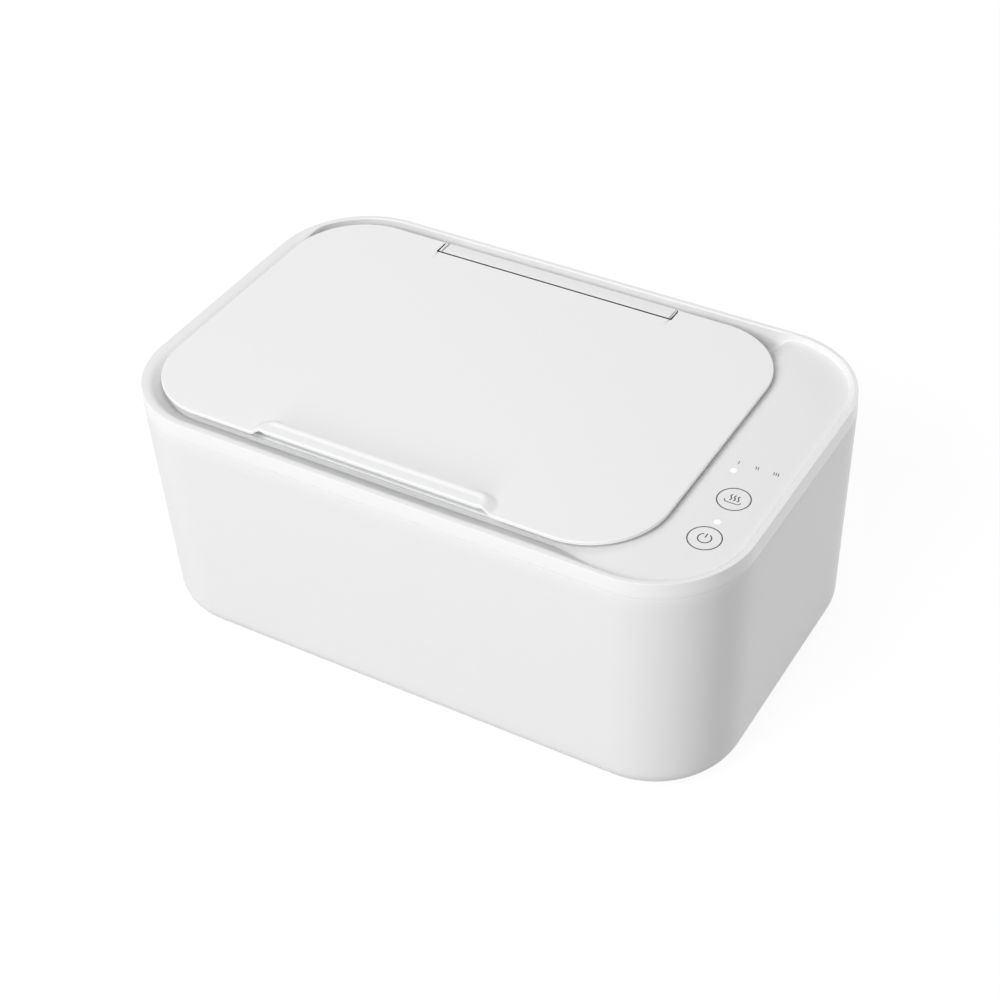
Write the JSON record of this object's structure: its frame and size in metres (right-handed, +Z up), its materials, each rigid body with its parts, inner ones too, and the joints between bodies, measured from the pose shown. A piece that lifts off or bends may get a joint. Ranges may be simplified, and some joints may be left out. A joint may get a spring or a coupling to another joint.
{
  "type": "baby wipe warmer",
  "caption": "White box-shaped baby wipe warmer with a hinged lid over a heated tank, and a touch panel with level lights on the right.",
  "frame": {"origin": "middle of the box the part fills, at the level of the surface under its feet", "axes": "+X to the right, towards the control strip; +Y to the back, towards the hinge; +Z up"},
  "size_m": [0.24, 0.15, 0.1039],
  "materials": {
    "shell_white": "fine satin moulded",
    "cover_white": "matte moulded",
    "foot_rubber": "matte",
    "screw_steel": "zinc plated",
    "frame_white": "satin moulded",
    "hinge_white": "satin moulded",
    "tank_white": "smooth moulded",
    "spreader_aluminium": "plain sheet",
    "film_silicone": "smooth",
    "pad_foam": "closed-cell foam",
    "fuse_ceramic": "glazed",
    "sensor_resin": "dipped resin",
    "board_green": "solder mask",
    "spring_steel": "gold flashed wire",
    "guide_clear": "clear acrylic",
    "led_resin": "clear resin",
    "jack_black": "moulded",
    "lead_grey": "insulated",
    "lead_red": "silicone insulated",
    "lead_black": "insulated",
    "lid_white": "fine satin moulded",
    "liner_white": "smooth moulded",
    "seal_silicone": "soft silicone",
    "pin_steel": "drawn wire"
  },
  "bodies": {
    "base": {"outer_shell": "shell_white", "bottom_cover": "cover_white", "foot_front_left": "foot_rubber", "foot_front_right": "foot_rubber", "foot_rear_left": "foot_rubber", "foot_rear_right": "foot_rubber", "cover_screws": "screw_steel", "top_frame": "frame_white", "hinge_bar": "hinge_white", "hinge_bar_screws": "screw_steel", "wipes_tank": "tank_white", "heat_spreader": "spreader_aluminium", "heater_film": "film_silicone", "insulation_pad": "pad_foam", "thermal_fuse": "fuse_ceramic", "temperature_sensor": "sensor_resin", "control_board": "board_green", "heat_touch_spring": "spring_steel", "power_touch_spring": "spring_steel", "level_light_guide": "guide_clear", "power_light_guide": "guide_clear", "indicator_leds": "led_resin", "board_screws": "screw_steel", "power_jack": "jack_black", "jack_leads": "lead_grey", "heater_leads": "lead_red", "sensor_leads": "lead_black"},
    "cover": {"lid": "lid_white", "lid_liner": "liner_white", "lid_seal": "seal_silicone", "liner_screws": "screw_steel", "hinge_pin_left": "pin_steel", "hinge_pin_right": "pin_steel"}
  },
  "joints": [
    {"name": "lid_hinge", "type": "hinge", "parent": "base", "child": "cover", "pos_m": [-0.0116, 0.0645, 0.0976], "axis": [-1, 0, 0], "range_deg": [0, 90]}
  ]
}
